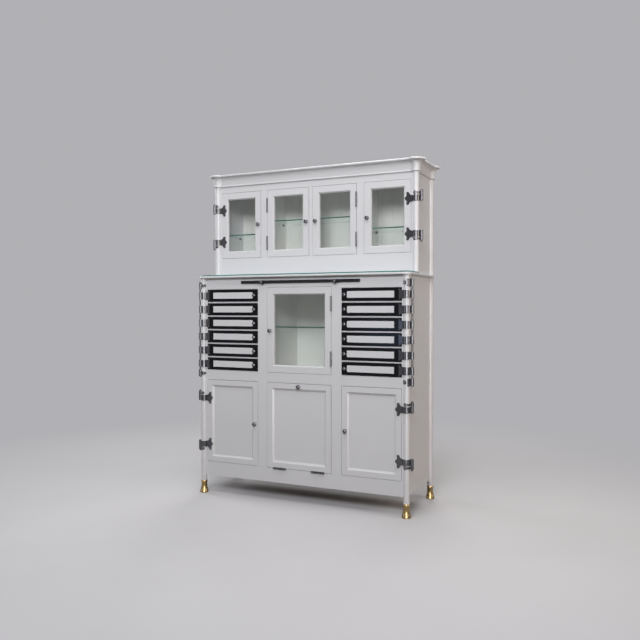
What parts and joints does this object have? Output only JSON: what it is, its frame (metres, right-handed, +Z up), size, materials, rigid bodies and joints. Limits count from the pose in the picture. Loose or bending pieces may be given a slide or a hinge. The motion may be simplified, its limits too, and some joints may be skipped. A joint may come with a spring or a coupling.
{
  "type": "dental cabinet",
  "caption": "Floor-standing white dental cabinet: glazed upper case, glass worktop, swing-out instrument trays, cupboards, tilting bin and pull-out slide.",
  "frame": {"origin": "bottom centre of the closed cabinet's bounding box, on the floor", "axes": "+Z up, front towards -Y, +X to the right when facing the front"},
  "size_m": [1.154, 0.4135, 1.612],
  "materials": {
    "white_enamel": "cool white enamel brushed on wood, satin to gloss",
    "black_lacquer": "deep black gloss lacquer on wood, chrome strap and knob",
    "black_glass": "polished black glass",
    "clear_glass": "clear glass with green cut edges",
    "chrome_plate": "bright plated castings",
    "dark_steel": "darkened steel rod",
    "polished_brass": "polished brass, tarnished in the hollows"
  },
  "bodies": {
    "cabinet": {"side_panels": "white_enamel", "back_panel": "white_enamel", "carcass_boards": "white_enamel", "partitions": "white_enamel", "lower_face_frame": "white_enamel", "upper_face_frame": "white_enamel", "tray_dividers": "white_enamel", "worktop": "white_enamel", "worktop_glass": "clear_glass", "cornice": "white_enamel", "corner_posts": "white_enamel", "brass_feet": "polished_brass", "glass_shelves": "clear_glass", "shelf_pins": "chrome_plate", "fixed_hinge_parts": "chrome_plate", "tray_pivot_rods": "dark_steel"},
    "left_tray_1": {"left_tray_1": "black_lacquer"},
    "left_tray_2": {"left_tray_2": "black_lacquer"},
    "left_tray_3": {"left_tray_3": "black_lacquer"},
    "left_tray_4": {"left_tray_4": "black_lacquer"},
    "left_tray_5": {"left_tray_5": "black_lacquer"},
    "left_tray_6": {"left_tray_6": "black_lacquer"},
    "right_tray_1": {"right_tray_1": "black_lacquer"},
    "right_tray_2": {"right_tray_2": "black_lacquer"},
    "right_tray_3": {"right_tray_3": "black_lacquer"},
    "right_tray_4": {"right_tray_4": "black_lacquer"},
    "right_tray_5": {"right_tray_5": "black_lacquer"},
    "right_tray_6": {"right_tray_6": "black_lacquer"},
    "upper_door_1": {"upper_door_1_frame": "white_enamel", "upper_door_1_glass": "clear_glass", "upper_door_1_hardware": "chrome_plate"},
    "upper_door_1_knob": {"upper_door_1_knob": "chrome_plate"},
    "upper_door_4": {"upper_door_4_frame": "white_enamel", "upper_door_4_glass": "clear_glass", "upper_door_4_hardware": "chrome_plate"},
    "upper_door_4_knob": {"upper_door_4_knob": "chrome_plate"},
    "upper_door_2": {"upper_door_2_frame": "white_enamel", "upper_door_2_glass": "clear_glass", "upper_door_2_hardware": "chrome_plate"},
    "upper_door_2_knob": {"upper_door_2_knob": "chrome_plate"},
    "upper_door_3": {"upper_door_3_frame": "white_enamel", "upper_door_3_glass": "clear_glass", "upper_door_3_hardware": "chrome_plate"},
    "upper_door_3_knob": {"upper_door_3_knob": "chrome_plate"},
    "middle_door": {"middle_door_frame": "white_enamel", "middle_door_glass": "clear_glass", "middle_door_hardware": "chrome_plate"},
    "middle_door_knob": {"middle_door_knob": "chrome_plate"},
    "lower_left_door": {"lower_left_door_panelled": "white_enamel", "lower_left_door_hardware": "chrome_plate"},
    "lower_left_door_knob": {"lower_left_door_knob": "chrome_plate"},
    "lower_right_door": {"lower_right_door_panelled": "white_enamel", "lower_right_door_hardware": "chrome_plate"},
    "lower_right_door_knob": {"lower_right_door_knob": "chrome_plate"},
    "flap": {"flap_panelled": "white_enamel", "flap_hardware": "chrome_plate", "flap_bin": "white_enamel"},
    "flap_knob": {"flap_knob": "chrome_plate"},
    "slide": {"slide_plate": "black_glass", "slide_pulls": "chrome_plate"}
  },
  "joints": [
    {"name": "left_tray_1_swing", "type": "hinge", "parent": "cabinet", "child": "left_tray_1", "pos_m": [-0.559, -0.17775, 0.99025], "axis": [0, 0, -1], "range_deg": [0, 90]},
    {"name": "left_tray_2_swing", "type": "hinge", "parent": "cabinet", "child": "left_tray_2", "pos_m": [-0.559, -0.17775, 0.92245], "axis": [0, 0, -1], "range_deg": [0, 90]},
    {"name": "left_tray_3_swing", "type": "hinge", "parent": "cabinet", "child": "left_tray_3", "pos_m": [-0.559, -0.17775, 0.85465], "axis": [0, 0, -1], "range_deg": [0, 90]},
    {"name": "left_tray_4_swing", "type": "hinge", "parent": "cabinet", "child": "left_tray_4", "pos_m": [-0.559, -0.17775, 0.78685], "axis": [0, 0, -1], "range_deg": [0, 90]},
    {"name": "left_tray_5_swing", "type": "hinge", "parent": "cabinet", "child": "left_tray_5", "pos_m": [-0.559, -0.17775, 0.71905], "axis": [0, 0, -1], "range_deg": [0, 90]},
    {"name": "left_tray_6_swing", "type": "hinge", "parent": "cabinet", "child": "left_tray_6", "pos_m": [-0.559, -0.17775, 0.65125], "axis": [0, 0, -1], "range_deg": [0, 90]},
    {"name": "right_tray_1_swing", "type": "hinge", "parent": "cabinet", "child": "right_tray_1", "pos_m": [0.559, -0.17775, 0.99025], "axis": [0, 0, 1], "range_deg": [0, 90]},
    {"name": "right_tray_2_swing", "type": "hinge", "parent": "cabinet", "child": "right_tray_2", "pos_m": [0.559, -0.17775, 0.92245], "axis": [0, 0, 1], "range_deg": [0, 90]},
    {"name": "right_tray_3_swing", "type": "hinge", "parent": "cabinet", "child": "right_tray_3", "pos_m": [0.559, -0.17775, 0.85465], "axis": [0, 0, 1], "range_deg": [0, 90]},
    {"name": "right_tray_4_swing", "type": "hinge", "parent": "cabinet", "child": "right_tray_4", "pos_m": [0.559, -0.17775, 0.78685], "axis": [0, 0, 1], "range_deg": [0, 90]},
    {"name": "right_tray_5_swing", "type": "hinge", "parent": "cabinet", "child": "right_tray_5", "pos_m": [0.559, -0.17775, 0.71905], "axis": [0, 0, 1], "range_deg": [0, 90]},
    {"name": "right_tray_6_swing", "type": "hinge", "parent": "cabinet", "child": "right_tray_6", "pos_m": [0.559, -0.17775, 0.65125], "axis": [0, 0, 1], "range_deg": [0, 90]},
    {"name": "upper_door_1_hinge", "type": "hinge", "parent": "cabinet", "child": "upper_door_1", "pos_m": [-0.559, -0.04575, 1.35225], "axis": [0, 0, -1], "range_deg": [0, 100]},
    {"name": "upper_door_1_knob_turn", "type": "hinge", "parent": "upper_door_1", "child": "upper_door_1_knob", "pos_m": [-0.2944, -0.04975, 1.35225], "axis": [0, 1, 0], "range_deg": [0, 90]},
    {"name": "upper_door_4_hinge", "type": "hinge", "parent": "cabinet", "child": "upper_door_4", "pos_m": [0.559, -0.04575, 1.35225], "axis": [0, 0, 1], "range_deg": [0, 100]},
    {"name": "upper_door_4_knob_turn", "type": "hinge", "parent": "upper_door_4", "child": "upper_door_4_knob", "pos_m": [0.2944, -0.04975, 1.35225], "axis": [0, -1, 0], "range_deg": [0, 90]},
    {"name": "upper_door_2_hinge", "type": "hinge", "parent": "cabinet", "child": "upper_door_2", "pos_m": [-0.24095, -0.05415, 1.35225], "axis": [0, 0, -1], "range_deg": [0, 100]},
    {"name": "upper_door_2_knob_turn", "type": "hinge", "parent": "upper_door_2", "child": "upper_door_2_knob", "pos_m": [-0.0249, -0.04975, 1.35225], "axis": [0, 1, 0], "range_deg": [0, 90]},
    {"name": "upper_door_3_hinge", "type": "hinge", "parent": "cabinet", "child": "upper_door_3", "pos_m": [0.24095, -0.05415, 1.35225], "axis": [0, 0, 1], "range_deg": [0, 100]},
    {"name": "upper_door_3_knob_turn", "type": "hinge", "parent": "upper_door_3", "child": "upper_door_3_knob", "pos_m": [0.0249, -0.04975, 1.35225], "axis": [0, -1, 0], "range_deg": [0, 90]},
    {"name": "middle_door_hinge", "type": "hinge", "parent": "cabinet", "child": "middle_door", "pos_m": [0.16905, -0.18615, 0.8235], "axis": [0, 0, 1], "range_deg": [0, 100]},
    {"name": "middle_door_knob_turn", "type": "hinge", "parent": "middle_door", "child": "middle_door_knob", "pos_m": [-0.1543, -0.18175, 0.82], "axis": [0, -1, 0], "range_deg": [0, 90]},
    {"name": "lower_left_door_hinge", "type": "hinge", "parent": "cabinet", "child": "lower_left_door", "pos_m": [-0.559, -0.17775, 0.3655], "axis": [0, 0, -1], "range_deg": [0, 100]},
    {"name": "lower_left_door_knob_turn", "type": "hinge", "parent": "lower_left_door", "child": "lower_left_door_knob", "pos_m": [-0.2392, -0.18175, 0.364], "axis": [0, 1, 0], "range_deg": [0, 90]},
    {"name": "lower_right_door_hinge", "type": "hinge", "parent": "cabinet", "child": "lower_right_door", "pos_m": [0.559, -0.17775, 0.3655], "axis": [0, 0, 1], "range_deg": [0, 100]},
    {"name": "lower_right_door_knob_turn", "type": "hinge", "parent": "lower_right_door", "child": "lower_right_door_knob", "pos_m": [0.2392, -0.18175, 0.364], "axis": [0, -1, 0], "range_deg": [0, 90]},
    {"name": "flap_tilt", "type": "hinge", "parent": "cabinet", "child": "flap", "pos_m": [0, -0.18615, 0.16025], "axis": [1, 0, 0], "range_deg": [0, 35]},
    {"name": "flap_knob_turn", "type": "hinge", "parent": "flap", "child": "flap_knob", "pos_m": [0, -0.18175, 0.556], "axis": [0, -1, 0], "range_deg": [0, 90]},
    {"name": "slide_draw", "type": "slide", "parent": "cabinet", "child": "slide", "axis": [0, -1, 0], "range_m": [0, 0.25]}
  ]
}
